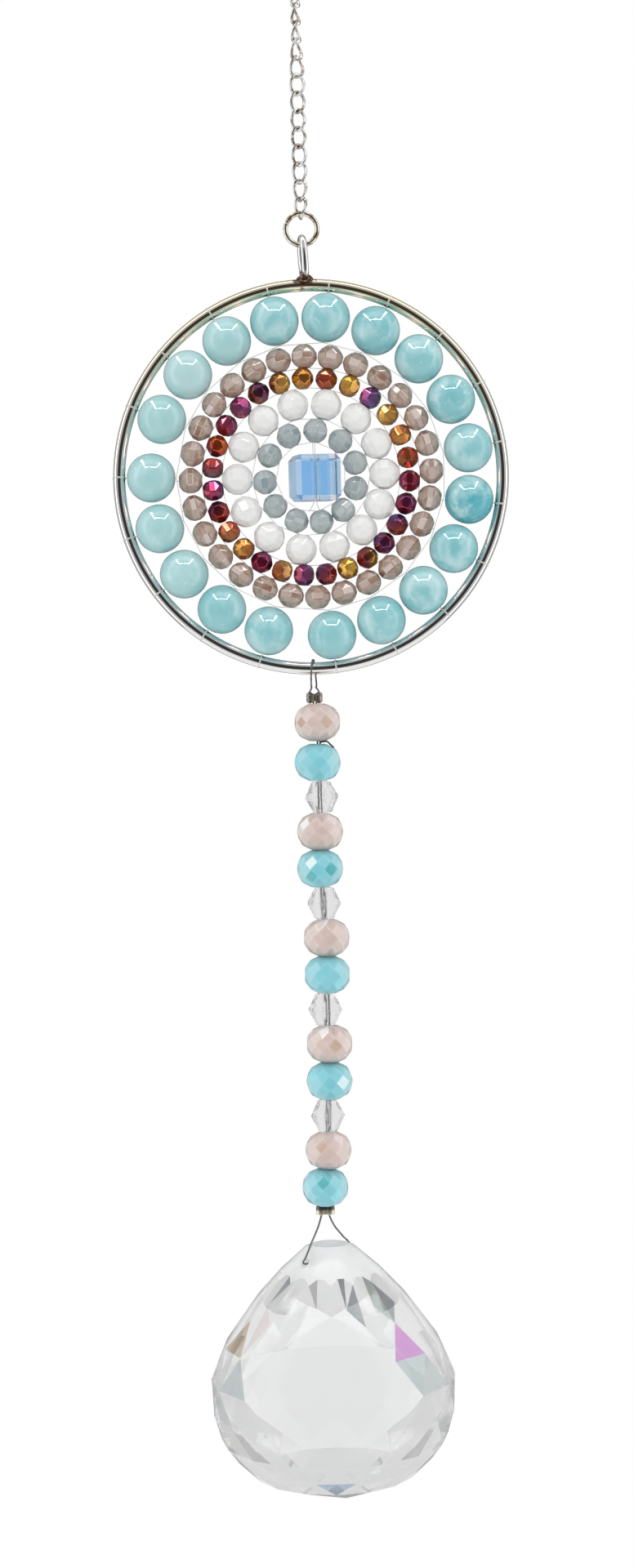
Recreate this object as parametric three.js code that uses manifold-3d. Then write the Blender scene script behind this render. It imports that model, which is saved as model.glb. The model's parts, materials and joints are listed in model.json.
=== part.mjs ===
// Crystal suncatcher: a steel hoop with five rounds of beads laced inside it, hung on a
// curb chain, with a strand of glass beads and a faceted crystal ball below it.
// Millimetres, +Z up. The hoop lies in the XZ plane and its front looks towards -Y.
// The origin is the inner top of the hanging ring, the point that a hook carries.
import * as THREE from "three";
import { ConvexGeometry } from "three/addons/geometries/ConvexGeometry.js";
import { mergeVertices } from "three/addons/utils/BufferGeometryUtils.js";
import Module from "manifold-3d";

const wasm = await Module();
wasm.setup();

// ---------------------------------------------------------------- driving dimensions

const HANG_RING = { inner: 8, wire: 1 };
const CHAIN = { links: 15, wire: 0.5, halfWidth: 1.05, halfLength: 1.68, touch: 0.04 };
const JUMP_RING = { inner: 4.44, wire: 0.78 };
const EYE = { height: 7.65, depth: 4.4, wire: 1.2, turn: 12, shift: 0.2 };
const HOOP = { outer: 65, wire: 2, shift: 0.45, drop: 40.7 };
const HANG_PLAY = 0.12; // free play where one hanging ring bears on the next
const PLAY = 0.08; // free play between two beads that touch
const THREAD = 0.24;
const WIRE = 0.3;
const FINEST = 0.06; // slivers under this height are taken out where solids are fused

// The rounds of the lacing, from the hoop inwards: number of beads, radius of their centres,
// size across and along the hole, bore, and clock angle of the first one. The spacing departs
// from even by wider gaps after some beads, or by a drift [degrees, phase] once, twice a round.
const ROUNDS = {
  aqua: {
    count: 19, radius: 26.25, across: 8, along: 8, bore: 1.4, first: 6.9,
    gaps: { 9: 4.3, 14: 2.9 },
  },
  mauve: {
    count: 28, radius: 19.8, across: 4.1, along: 3.5, first: 358.7,
    drift: [[0.5, -101], [0.7, -128]],
  },
  red: {
    count: 27, radius: 16.2, across: 3.4, along: 2.8, first: 358.3,
    drift: [[2.2, 122], [0.4, 165]],
  },
  white: {
    count: 14, radius: 12.07, across: 5, along: 4.4, first: 345.9,
    drift: [[2.1, -4], [0.8, 136]],
  },
  blue: {
    count: 11, radius: 7.6, across: 3.9, along: 3.4, bore: 0.9, first: 333.1,
    drift: [[2.8, 64]],
  },
};
// The innermost thread: where its two runs pass beside the cube's middle and where they end
// on the ring below, as [x beside the cube's middle, x on the ring].
const INNER_LACING = { radius: 5.74, stubEnd: 9.5, feet: [[-0.16, -0.45], [0.16, 1.3]] };
const CUBE = { edge: 7, bevel: 0.35, corner: 1.5, bore: 1.5, x: 0.6, z: -0.2, turn: 12, tip: 5 };

// The strand, from the top down: each bead's kind and how far it sits to the side of the wire.
const STRAND = [
  ["pink", 0.1], ["aqua", -0.3], ["clear", 0.3], ["pink", -0.1], ["aqua", -0.3], ["clear", 0.1],
  ["pink", 0.25], ["aqua", 0.15], ["clear", -0.3], ["pink", 0.25], ["aqua", 0.2], ["clear", -0.1],
  ["pink", 0.1], ["aqua", -0.2],
];
const RONDELLE = { across: 7.6, along: 6, bore: 1.7 };
const BICONE = { across: 5.6, along: 5.2, bore: 1.6 };
const TAIL_GAP = 0.5; // below the first bead, where the wire's cut end comes out
const UPPER_CRIMP = { width: 2.7, depth: 2, height: 2, slot: 1.8, drop: 4.8 };
const LOWER_CRIMP = { width: 3.1, depth: 1.9, height: 1.5, slot: 2.3 };
const WIRE_SPACING = 0.34; // between the wire's two runs inside the beads
// Sideways sway of the wire: [share of the strand's length, x].
const SWAY = [
  [0, 0], [0.1, 0.55], [0.3, 0.4], [0.5, 0.7], [0.68, 0.65], [0.84, 0.35], [0.95, -0.2], [1, -0.55],
];

// The crystal ball: rows of corners from the top, [radius, height above the centre]. Each row
// has the same number of corners, half a step on from the row above it.
const BALL = { corners: 16, tableRadius: 3.9, tableHeight: 24.3, bore: 1.5, boreHeight: 22 };
const BALL_ROWS = [
  [9.6, 18.2], [14.9, 12.6], [18.6, 6.6], [20, -0.4], [18.7, -7.2], [14.6, -13.2], [8, -17],
];
const BALL_TIP = -18.9;
const BALL_DROP = 29.8; // from the lower crimp's middle to the ball's centre
const BORE_ACROSS = 46; // degrees in plan between the ball's bore and the line of sight
const BORE_REACH = 6.5; // how far out from the ball's axis the wire turns into the bore

// ---------------------------------------------------------------- colours

const finish = (color, roughness, metalness, opacity = 1) =>
  new THREE.MeshStandardMaterial({ color, roughness, metalness, opacity, transparent: opacity < 1 });
const MATERIALS = {
  steel: finish(0xc9c9c6, 0.15, 1),
  silver: finish(0xd6d4cf, 0.2, 1),
  pewter: finish(0x9c9384, 0.4, 1),
  beadingWire: finish(0x77797a, 0.35, 1),
  nylon: finish(0xe9ece6, 0.3, 0),
  aquaStone: finish(0x9fd3d0, 0.25, 0),
  mauveGlass: finish(0xbfaaa3, 0.2, 0.2),
  irisGlass: finish(0x9c3f2e, 0.2, 0.6),
  whiteGlass: finish(0xe8e8e4, 0.15, 0),
  greyBlueGlass: finish(0x8a9ea6, 0.15, 0.1),
  sapphireCrystal: finish(0x96bdf0, 0.05, 0, 0.6),
  pinkGlass: finish(0xe4cdca, 0.2, 0),
  aquaGlass: finish(0x86d7e0, 0.2, 0),
  clearCrystal: finish(0xeef2f3, 0.03, 0, 0.35),
};

// ---------------------------------------------------------------- solids

const { degToRad } = THREE.MathUtils;

// A closed geometry as a manifold-3d solid; faces that shrink to nothing at a pole are dropped.
function solid(geometry) {
  const bare = geometry.clone();
  bare.deleteAttribute("normal");
  bare.deleteAttribute("uv");
  const merged = mergeVertices(bare, 1e-4);
  const corners = [];
  for (let i = 0; i < merged.index.count; i += 3) {
    const [a, b, c] = [0, 1, 2].map((k) => merged.index.getX(i + k));
    if (a !== b && b !== c && c !== a) corners.push(a, b, c);
  }
  return new wasm.Manifold(new wasm.Mesh({
    numProp: 3,
    vertProperties: new Float32Array(merged.attributes.position.array),
    triVerts: new Uint32Array(corners),
  }));
}

function geometryOf(body) {
  const mesh = body.getMesh();
  const geometry = new THREE.BufferGeometry();
  geometry.setAttribute("position", new THREE.BufferAttribute(mesh.vertProperties, 3));
  geometry.setIndex(new THREE.BufferAttribute(mesh.triVerts, 1));
  return geometry;
}

// Joins the solids, and takes out the slivers that are thinner than FINEST where they meet.
function join(geometries) {
  const whole = geometries.map(solid).reduce((sum, next) => sum.add(next));
  return geometryOf(whole.asOriginal().simplify(FINEST));
}

const cut = (geometry, tool) => geometryOf(solid(geometry).subtract(solid(tool)));

// Turned round the Z axis from a profile of [radius, height] points.
function turned(profile, sides) {
  const points = profile.map(([radius, height]) => new THREE.Vector2(radius, height));
  return new THREE.LatheGeometry(points, sides).rotateX(Math.PI / 2);
}

// A ring of round wire in the XZ plane, centred on the origin.
const wireRing = (radius, wire, sides, steps) =>
  new THREE.TorusGeometry(radius, wire / 2, sides, steps).rotateX(Math.PI / 2);

// A ring of thread inside a round, its corners at the beads' even places; nearestRun is how
// close to the centre the thread comes between two corners.
const threadRing = (radius, { count, first }) =>
  wireRing(radius, THREAD, 3, count).rotateY(degToRad(first - 90));
const nearestRun = (radius, { count }) => radius * Math.cos(Math.PI / count);

// A straight length of wire or thread from one point to another.
function rod(from, to, diameter, sides = 3) {
  const run = new THREE.Vector3().subVectors(to, from);
  const geometry = new THREE.CylinderGeometry(diameter / 2, diameter / 2, run.length(), sides);
  const turn = new THREE.Quaternion();
  turn.setFromUnitVectors(new THREE.Vector3(0, 1, 0), run.clone().normalize());
  const middle = new THREE.Vector3().addVectors(from, to).multiplyScalar(0.5);
  return geometry.applyQuaternion(turn).translate(middle.x, middle.y, middle.z);
}

// A closed loop of wire through the given points.
function closedWire(points, diameter, steps, sides) {
  const path = new THREE.CatmullRomCurve3(points, true, "centripetal");
  return new THREE.TubeGeometry(path, steps, diameter / 2, sides, true);
}

const vector = (x, y, z) => new THREE.Vector3(x, y, z);

function piece(name, geometry, material, x = 0, y = 0, z = 0) {
  const mesh = new THREE.Mesh(geometry, material);
  mesh.name = name;
  mesh.position.set(x, y, z);
  return mesh;
}

// ---------------------------------------------------------------- heights down the plumb line

const hangRingRadius = (HANG_RING.inner + HANG_RING.wire) / 2;
const hangRingZ = -HANG_RING.inner / 2;
const linkPitch = 2 * CHAIN.halfLength - CHAIN.wire + CHAIN.touch;
const ringInLink = CHAIN.wire / 2 + HANG_PLAY - CHAIN.halfLength;
const topLinkZ = hangRingZ - HANG_RING.inner / 2 + ringInLink;
const bottomLinkZ = topLinkZ - (CHAIN.links - 1) * linkPitch;
const jumpRingRadius = (JUMP_RING.inner + JUMP_RING.wire) / 2;
const jumpRingZ = bottomLinkZ + ringInLink - JUMP_RING.inner / 2;
const eyeTopZ = jumpRingZ - JUMP_RING.inner / 2 + HANG_PLAY + EYE.wire;
const hoopRadius = (HOOP.outer - HOOP.wire) / 2;
const hoopZ = jumpRingZ - HOOP.drop;
const upperCrimpZ = hoopZ - HOOP.outer / 2 - UPPER_CRIMP.drop + UPPER_CRIMP.height / 2;

// ---------------------------------------------------------------- hanging ring, chain, jump ring

// A curb link is an oval that twists a quarter turn from its top end to its bottom end, so
// that the next link of the same form crosses it squarely.
function curbLink(facing, z) {
  const points = [];
  const count = 8;
  for (let i = 0; i < count; i += 1) {
    const around = ((i + 0.5) / count) * 2 * Math.PI;
    const twist = degToRad(facing + 45 * Math.sin(around));
    const reach = CHAIN.halfWidth * Math.cos(around);
    const height = CHAIN.halfLength * Math.sin(around) / Math.cos(Math.PI / count);
    points.push(vector(reach * Math.cos(twist), reach * Math.sin(twist), z + height));
  }
  return closedWire(points, CHAIN.wire, count, 4);
}

// The chain hangs facing the front, turns aside at the jump ring, and turns the other way
// towards the hanging ring.
function linkFacing(fromBottom) {
  const lowerTurn = -45 * Math.max(0, 1 - fromBottom / 3);
  const upperTurn = 14 * Math.max(0, fromBottom - 9);
  return lowerTurn + upperTurn;
}

function chainGeometry() {
  const links = [];
  for (let i = 0; i < CHAIN.links; i += 1) {
    links.push(curbLink(linkFacing(CHAIN.links - 1 - i), topLinkZ - i * linkPitch));
  }
  return join(links);
}

// ---------------------------------------------------------------- hoop with its welded eye

function hoopGeometry() {
  const ring = wireRing(hoopRadius, HOOP.wire, 6, 40);
  const top = eyeTopZ - hoopZ - EYE.wire / 2;
  const halfHeight = (EYE.height - EYE.wire) / 2;
  const halfDepth = (EYE.depth - EYE.wire) / 2;
  const points = [];
  for (let i = 0; i < 12; i += 1) {
    const around = ((i + 0.5) / 12) * 2 * Math.PI;
    const flat = Math.sign(Math.cos(around)) * Math.abs(Math.cos(around)) ** 0.7;
    points.push(vector(0, halfDepth * flat, top - halfHeight + halfHeight * Math.sin(around)));
  }
  const eye = closedWire(points, EYE.wire, 14, 5).rotateZ(degToRad(EYE.turn));
  eye.translate(EYE.shift - HOOP.shift, 0, 0);
  const weld = new THREE.IcosahedronGeometry(1.35).scale(1.1, 1.1, 0.7);
  weld.translate(0, 0, hoopRadius + HOOP.wire / 2 - 0.2);
  return join([ring, eye, weld]);
}

// ---------------------------------------------------------------- lacing and its beads

const onClock = (radius, degrees) =>
  vector(radius * Math.sin(degToRad(degrees)), 0, radius * Math.cos(degToRad(degrees)));

function clockAngles({ count, first, gaps = {}, drift = [] }) {
  const spare = Object.values(gaps).reduce((sum, gap) => sum + gap, 0);
  const step = (360 - spare) / count;
  const angles = [];
  let even = first;
  for (let i = 0; i < count; i += 1) {
    const moves = drift.map(([size, phase], k) => size * Math.cos(degToRad((k + 1) * even - phase)));
    angles.push(moves.reduce((sum, move) => sum + move, even));
    even += step + (gaps[i] ?? 0);
  }
  return angles;
}

// A bead turned round its hole, which runs along Z.
function boredBead({ across, along, bore }, shape, sides) {
  const profile = shape.map(([reach, height]) => [reach * across / 2, height * along / 2]);
  const foot = [bore / 2, -along / 2];
  return turned([foot, ...profile, [bore / 2, along / 2], foot], sides);
}

// Share of the half size across, share of the half size along: from one end to the other.
const ROUND_BEAD = [-57, -19, 19, 57].map(degToRad).map((a) => [Math.cos(a), Math.sin(a)]);
const RONDELLE_BEAD = [[0.6, -0.82], [1, -0.2], [1, 0.2], [0.6, 0.82]];
const SMALL_BEAD = [[0.5, -0.95], [1, 0], [0.5, 0.95]];
const BICONE_BEAD = [[1, 0]];
const BEAD_SIDES = 7;

function laidOnClock(geometry, radius, degrees) {
  const { x, z } = onClock(radius, degrees);
  return geometry.rotateY(degToRad(degrees)).translate(x, 0, z);
}

// A round of small beads fused with the thread that runs from hole to hole on their inner side.
function fusedRound(round, shape, sides) {
  const beads = clockAngles(round).map((degrees) => {
    const profile = shape.map(([reach, height]) => [reach * round.across / 2, height * round.along / 2]);
    const ends = [[0, -round.along / 2], ...profile, [0, round.along / 2]];
    return laidOnClock(turned(ends, sides), round.radius, degrees);
  });
  const threadRadius = round.radius - round.along / 2 + 0.05;
  return join([...beads, threadRing(threadRadius, round)]);
}

// The thread of the outer round: a wrap round the hoop at each bead, a run through the bead,
// and a ring of thread along the beads' inner side.
function hoopLacingGeometry() {
  const { radius, along } = ROUNDS.aqua;
  const innerSide = radius - along / 2 - THREAD / 2 - 0.1;
  const wrapRadius = (HOOP.wire / 2 + THREAD / 2 + PLAY) / Math.cos(Math.PI / 5);
  const [runStart, runEnd] = [nearestRun(innerSide, ROUNDS.aqua), hoopRadius - wrapRadius];
  const runs = clockAngles(ROUNDS.aqua).flatMap((degrees) => {
    const wrap = new THREE.TorusGeometry(wrapRadius, THREAD / 2, 3, 5).rotateY(Math.PI / 2);
    const run = rod(onClock(runStart, degrees), onClock(runEnd, degrees), THREAD);
    return [laidOnClock(wrap, hoopRadius, degrees), run];
  });
  return join([threadRing(innerSide, ROUNDS.aqua), ...runs]);
}

// The innermost thread: a ring inside the grey-blue beads, a run out through each of them,
// and two runs down through the cube that part below it.
function innerLacingGeometry() {
  const { radius, stubEnd } = INNER_LACING;
  const runs = clockAngles(ROUNDS.blue).map((degrees) =>
    rod(onClock(nearestRun(radius, ROUNDS.blue), degrees), onClock(stubEnd, degrees), THREAD));
  const onRing = (x, upOrDown) => vector(x, 0, upOrDown * Math.sqrt(radius ** 2 - x ** 2));
  for (const [side, foot] of INNER_LACING.feet) {
    const x = CUBE.x + side;
    const bend = vector(x, 0, CUBE.z - CUBE.edge / 2 - 0.3);
    runs.push(rod(onRing(x, 1), bend, THREAD));
    runs.push(rod(bend.clone().setZ(bend.z + 0.1), onRing(foot, -1), THREAD));
  }
  return join([threadRing(radius, ROUNDS.blue), ...runs]);
}

// A cube with bevelled edges and cut-off corners: the hull of every arrangement of three sizes.
function cubeGeometry() {
  const half = CUBE.edge / 2;
  const sizes = [half, half - CUBE.bevel, half - CUBE.corner];
  const corners = [];
  for (const [a, b, c] of [[0, 1, 2], [0, 2, 1], [1, 0, 2], [1, 2, 0], [2, 0, 1], [2, 1, 0]]) {
    for (const sx of [-1, 1]) for (const sy of [-1, 1]) for (const sz of [-1, 1]) {
      corners.push(vector(sx * sizes[a], sy * sizes[b], sz * sizes[c]));
    }
  }
  const bore = new THREE.CylinderGeometry(CUBE.bore / 2, CUBE.bore / 2, 2 * CUBE.edge, 8);
  return cut(new ConvexGeometry(corners), bore.rotateX(Math.PI / 2));
}

function laceHoop() {
  const lacing = new THREE.Group();
  lacing.position.set(HOOP.shift, 0, hoopZ);
  lacing.add(piece("hoop", hoopGeometry(), MATERIALS.steel));
  clockAngles(ROUNDS.aqua).forEach((degrees, i) => {
    const bead = boredBead(ROUNDS.aqua, ROUND_BEAD, 6);
    const mesh = piece(`aqua_bead_${String(i + 1).padStart(2, "0")}`, bead, MATERIALS.aquaStone);
    mesh.position.copy(onClock(ROUNDS.aqua.radius, degrees));
    mesh.rotation.y = degToRad(degrees);
    lacing.add(mesh);
  });
  lacing.add(piece("hoop_lacing", hoopLacingGeometry(), MATERIALS.nylon));
  lacing.add(piece("mauve_round", fusedRound(ROUNDS.mauve, SMALL_BEAD, 5), MATERIALS.mauveGlass));
  lacing.add(piece("red_round", fusedRound(ROUNDS.red, SMALL_BEAD, 4), MATERIALS.irisGlass));
  lacing.add(piece("white_round", fusedRound(ROUNDS.white, SMALL_BEAD, 6), MATERIALS.whiteGlass));
  clockAngles(ROUNDS.blue).forEach((degrees, i) => {
    const bead = boredBead(ROUNDS.blue, [[1, -0.25], [1, 0.25]], 6);
    const mesh = piece(`grey_blue_bead_${String(i + 1).padStart(2, "0")}`, bead, MATERIALS.greyBlueGlass);
    mesh.position.copy(onClock(ROUNDS.blue.radius, degrees));
    mesh.rotation.y = degToRad(degrees);
    lacing.add(mesh);
  });
  lacing.add(piece("inner_lacing", innerLacingGeometry(), MATERIALS.nylon));
  const cube = piece("cube_bead", cubeGeometry(), MATERIALS.sapphireCrystal, CUBE.x, 0, CUBE.z);
  cube.rotation.set(degToRad(CUBE.tip), 0, degToRad(CUBE.turn), "ZXY");
  lacing.add(cube);
  return lacing;
}

// ---------------------------------------------------------------- strand, wire and crystal ball

const sizeOf = (kind) => (kind === "clear" ? BICONE : RONDELLE);
const beadsLength = STRAND.reduce((sum, [kind]) => sum + PLAY + sizeOf(kind).along, 0);
const crimpsLength = (UPPER_CRIMP.height + LOWER_CRIMP.height) / 2;
const strandLength = beadsLength + TAIL_GAP + PLAY + crimpsLength;
const lowerCrimpZ = upperCrimpZ - strandLength;
const ballZ = lowerCrimpZ - BALL_DROP;

function swayAt(z) {
  const share = THREE.MathUtils.clamp((upperCrimpZ - z) / strandLength, 0, 1);
  const next = Math.max(1, SWAY.findIndex(([at]) => at >= share));
  const [[fromAt, fromX], [toAt, toX]] = [SWAY[next - 1], SWAY[next]];
  return fromX + (toX - fromX) * (share - fromAt) / (toAt - fromAt);
}

function strandPieces() {
  const pieces = [];
  const counts = { pink: 0, aqua: 0, clear: 0 };
  let z = upperCrimpZ - UPPER_CRIMP.height / 2 - PLAY;
  STRAND.forEach(([kind, seat], i) => {
    const size = sizeOf(kind);
    const shape = kind === "clear" ? BICONE_BEAD : RONDELLE_BEAD;
    const material = MATERIALS[{ pink: "pinkGlass", aqua: "aquaGlass", clear: "clearCrystal" }[kind]];
    const centre = z - size.along / 2;
    counts[kind] += 1;
    const name = `${kind}_${kind === "clear" ? "bicone" : "rondelle"}_${counts[kind]}`;
    const bead = boredBead(size, shape, BEAD_SIDES);
    pieces.push(piece(name, bead, material, swayAt(centre) + seat, 0, centre));
    z -= size.along + PLAY + (i === 0 ? TAIL_GAP : 0);
  });
  return pieces;
}

// A crimp is a short tube squeezed flat on the wire's two runs.
function crimpGeometry({ width, depth, height, slot }) {
  const wall = (width - slot) / 2;
  const profile = [[slot / 2, -height / 2], [width / 2 - wall * 0.3, -height / 2], [width / 2, 0],
    [width / 2 - wall * 0.3, height / 2], [slot / 2, height / 2], [slot / 2, -height / 2]];
  return turned(profile, 8).scale(1, depth / width, 1);
}

// The wire: one closed loop, over the hoop, down through crimp and beads as two runs, out
// through the lower crimp and across the ball's bore. Its cut end leaves below the first bead.
function strandWireGeometry() {
  const half = WIRE_SPACING / 2;
  const tube = hoopZ - hoopRadius;
  const overHoop = [
    [-0.38, -0.05, upperCrimpZ], [-0.42, -0.12, upperCrimpZ + 1.2], [-0.45, -0.6, tube - 2.9],
    [-0.42, -1.35, tube - 1.3], [-0.34, -1.6, tube], [-0.2, -1.25, tube + 1.3], [0, 0, tube + 1.75],
    [0.12, 1.25, tube + 1.3], [0.2, 1.6, tube], [0.3, 1.35, tube - 1.3], [0.4, 0.6, tube - 2.9],
    [0.4, 0.12, upperCrimpZ + 1.2], [0.38, 0.05, upperCrimpZ],
  ];
  const runHeights = [];
  const runTop = upperCrimpZ - UPPER_CRIMP.height;
  for (let i = 0; i <= 12; i += 1) runHeights.push(runTop + (lowerCrimpZ + 3 - runTop) * (i / 12));
  const plan = [Math.sin(degToRad(BORE_ACROSS)), Math.cos(degToRad(BORE_ACROSS))];
  const boreZ = ballZ + BALL.boreHeight;
  const alongBore = (reach, z) => [reach * plan[0], reach * plan[1], z];
  const crimpX = swayAt(lowerCrimpZ);
  const rightRun = runHeights.map((z) => [swayAt(z) + half, 0, z]);
  const leftRun = runHeights.map((z) => [swayAt(z) - half, 0, z]).reverse();
  const throughBall = [
    [crimpX + 0.5, 0, lowerCrimpZ + 0.4], [crimpX + 0.68, 0.08, lowerCrimpZ - 1],
    alongBore(2.6, boreZ + 3.6), alongBore(BORE_REACH - 0.5, boreZ + 0.9),
    alongBore(BORE_REACH, boreZ + 0.25), alongBore(BORE_REACH - 0.6, boreZ), alongBore(0, boreZ),
    alongBore(0.6 - BORE_REACH, boreZ), alongBore(-BORE_REACH, boreZ + 0.25),
    alongBore(0.5 - BORE_REACH, boreZ + 0.9), alongBore(-4.4, boreZ + 2.7),
    [crimpX - 0.72, -0.12, lowerCrimpZ - 1], [crimpX - 0.5, 0, lowerCrimpZ + 0.4],
  ];
  const points = [...overHoop, ...rightRun, ...throughBall, ...leftRun].map((p) => vector(...p));
  const firstBeadFoot = upperCrimpZ - UPPER_CRIMP.height / 2 - PLAY - RONDELLE.along;
  const gapMiddle = firstBeadFoot - (TAIL_GAP + PLAY) / 2;
  const tailX = swayAt(gapMiddle) + half;
  const tail = [
    rod(vector(tailX, 0, gapMiddle), vector(tailX + 1.05, 0, gapMiddle), WIRE, 4),
    rod(vector(tailX + 0.95, 0, gapMiddle + 0.02), vector(tailX + 1.8, 0, gapMiddle - 0.5), WIRE, 4),
  ];
  return join([closedWire(points, WIRE, 78, 3), ...tail]);
}

function ballGeometry() {
  const { corners, tableRadius, tableHeight, bore, boreHeight } = BALL;
  const points = [vector(0, 0, BALL_TIP)];
  const row = (radius, z, count, offset) => {
    for (let i = 0; i < count; i += 1) {
      const around = ((i + offset) / count) * 2 * Math.PI;
      points.push(vector(radius * Math.cos(around), radius * Math.sin(around), z));
    }
  };
  row(tableRadius, tableHeight, corners / 2, 0);
  BALL_ROWS.forEach(([radius, z], i) => row(radius, z, corners, i % 2 ? 0 : 0.5));
  const drill = new THREE.CylinderGeometry(bore / 2, bore / 2, 60, 8);
  drill.rotateZ(-degToRad(BORE_ACROSS)).translate(0, 0, boreHeight);
  return cut(new ConvexGeometry(points), drill);
}

// ---------------------------------------------------------------- the suncatcher

const suncatcher = new THREE.Group();
const hangingRing = wireRing(hangRingRadius, HANG_RING.wire, 6, 20);
suncatcher.add(piece("hanging_ring", hangingRing, MATERIALS.silver, 0, 0, hangRingZ));
suncatcher.add(piece("chain", chainGeometry(), MATERIALS.silver));
const jumpRing = wireRing(jumpRingRadius, JUMP_RING.wire, 5, 16);
suncatcher.add(piece("jump_ring", jumpRing, MATERIALS.silver, 0, 0, jumpRingZ));
suncatcher.add(laceHoop());
const upperCrimp = crimpGeometry(UPPER_CRIMP);
suncatcher.add(piece("upper_crimp", upperCrimp, MATERIALS.pewter, 0, 0, upperCrimpZ));
suncatcher.add(...strandPieces());
const lowerCrimp = crimpGeometry(LOWER_CRIMP);
suncatcher.add(piece("lower_crimp", lowerCrimp, MATERIALS.pewter, swayAt(lowerCrimpZ), 0, lowerCrimpZ));
suncatcher.add(piece("strand_wire", strandWireGeometry(), MATERIALS.beadingWire));
suncatcher.add(piece("crystal_ball", ballGeometry(), MATERIALS.clearCrystal, 0, 0, ballZ));

export default suncatcher;
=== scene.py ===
"""The looks of the crystal suncatcher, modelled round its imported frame.

Lengths are in metres, and MM turns millimetres into them. The hoop lies in the XZ plane, its
front looks towards -Y, and clock angles are degrees from the hoop's top towards +X.
"""

import json
import random
from itertools import product
from math import copysign, cos, degrees, exp, hypot, pi, radians, sin, sqrt

import bpy
from mathutils import Euler, Matrix, Vector

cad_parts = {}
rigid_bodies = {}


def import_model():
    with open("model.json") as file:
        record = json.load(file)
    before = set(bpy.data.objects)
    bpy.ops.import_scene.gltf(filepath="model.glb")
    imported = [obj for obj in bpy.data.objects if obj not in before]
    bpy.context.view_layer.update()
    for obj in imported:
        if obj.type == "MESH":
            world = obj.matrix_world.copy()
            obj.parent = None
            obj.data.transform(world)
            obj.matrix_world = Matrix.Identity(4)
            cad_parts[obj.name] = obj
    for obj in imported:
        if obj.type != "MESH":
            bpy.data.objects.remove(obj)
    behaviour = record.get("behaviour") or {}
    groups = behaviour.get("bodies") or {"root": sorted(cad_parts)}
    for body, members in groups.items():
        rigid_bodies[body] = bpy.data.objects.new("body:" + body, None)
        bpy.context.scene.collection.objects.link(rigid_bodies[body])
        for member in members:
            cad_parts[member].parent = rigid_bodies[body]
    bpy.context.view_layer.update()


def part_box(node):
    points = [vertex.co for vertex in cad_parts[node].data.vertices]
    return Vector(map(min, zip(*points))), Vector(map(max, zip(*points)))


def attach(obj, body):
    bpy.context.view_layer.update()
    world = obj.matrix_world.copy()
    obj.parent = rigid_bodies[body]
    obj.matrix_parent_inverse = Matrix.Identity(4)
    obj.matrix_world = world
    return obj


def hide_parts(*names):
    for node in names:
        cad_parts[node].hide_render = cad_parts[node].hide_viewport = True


MM = 0.001

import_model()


def middle(name):
    low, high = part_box(name)
    return (low + high) / 2


# ---------------- driving sizes

HOOP_WIRE = 2 * MM
EYE_WIRE = 1.2 * MM
RING_WIRE = 1 * MM
JUMP_WIRE = 0.78 * MM
LINK = {"wire": 0.5 * MM, "half_width": 1.05 * MM, "half_length": 1.68 * MM, "pitch": 2.9 * MM}
LINK_COUNT = 15
THREAD = 0.11 * MM
WIRE = 0.3 * MM

# The rounds of the lacing, from the hoop inwards, in mm and clock degrees. The spacing departs
# from even by wider gaps after some beads, or by a drift [degrees, phase] once, twice a round.
ROUNDS = {
    "aqua": {"count": 19, "radius": 26.25, "along": 8, "first": 6.9, "gaps": {9: 4.3, 14: 2.9}},
    "mauve": {"count": 28, "radius": 19.8, "along": 3.5, "first": 358.7,
              "drift": [(0.5, -101), (0.7, -128)]},
    "red": {"count": 27, "radius": 16.2, "along": 2.8, "first": 358.3,
            "drift": [(2.2, 122), (0.4, 165)]},
    "white": {"count": 14, "radius": 12.07, "along": 4.4, "first": 345.9,
              "drift": [(2.1, -4), (0.8, 136)]},
    "blue": {"count": 11, "radius": 7.6, "along": 3.4, "first": 333.1, "drift": [(2.8, 64)]},
}

hoop_low, hoop_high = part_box("hoop")
hoop_outer = (hoop_high.x - hoop_low.x) / 2
hoop_radius = hoop_outer - HOOP_WIRE / 2
hoop_centre = Vector(((hoop_high.x + hoop_low.x) / 2, 0, hoop_low.z + hoop_outer))
ball_low, ball_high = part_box("crystal_ball")
upper_crimp_z = middle("upper_crimp").z
lower_crimp_z = middle("lower_crimp").z


# ---------------- modelling by hand

def object_mode():
    bpy.ops.object.mode_set(mode="OBJECT")


def edit_mode():
    bpy.ops.object.mode_set(mode="EDIT")


def select_all(action="SELECT"):
    bpy.ops.mesh.select_all(action=action)


def start(kind, **size):
    """A primitive at its size and place, alone in the selection and in edit mode."""
    if bpy.context.mode != "OBJECT":
        object_mode()
    bpy.ops.object.select_all(action="DESELECT")
    getattr(bpy.ops.mesh, f"primitive_{kind}_add")(**size)
    edit_mode()
    return bpy.context.object


def primitive(kind, **size):
    """A primitive at its size and place, in object mode."""
    made = start(kind, **size)
    object_mode()
    return made


def pick_faces(piece, test):
    """Selects only the faces that pass the test."""
    bpy.ops.mesh.select_mode(type="FACE")
    select_all("DESELECT")
    object_mode()
    for face in piece.data.polygons:
        face.select = test(face)
    edit_mode()


def whole(piece):
    """Merges the piece's doubles, turns its faces outwards and leaves edit mode."""
    bpy.ops.mesh.select_mode(type="VERT")
    select_all()
    bpy.ops.mesh.remove_doubles(threshold=0.002 * MM)
    bpy.ops.mesh.normals_make_consistent(inside=False)
    object_mode()
    return piece


def drilled(piece, rim):
    """Bores the piece from its top to its foot and leaves a rim of this width round the hole."""
    pick_faces(piece, lambda face: abs(face.normal.z) > 0.999)
    bpy.ops.mesh.inset(thickness=rim)
    bpy.ops.mesh.bridge_edge_loops()
    return whole(piece)


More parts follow.
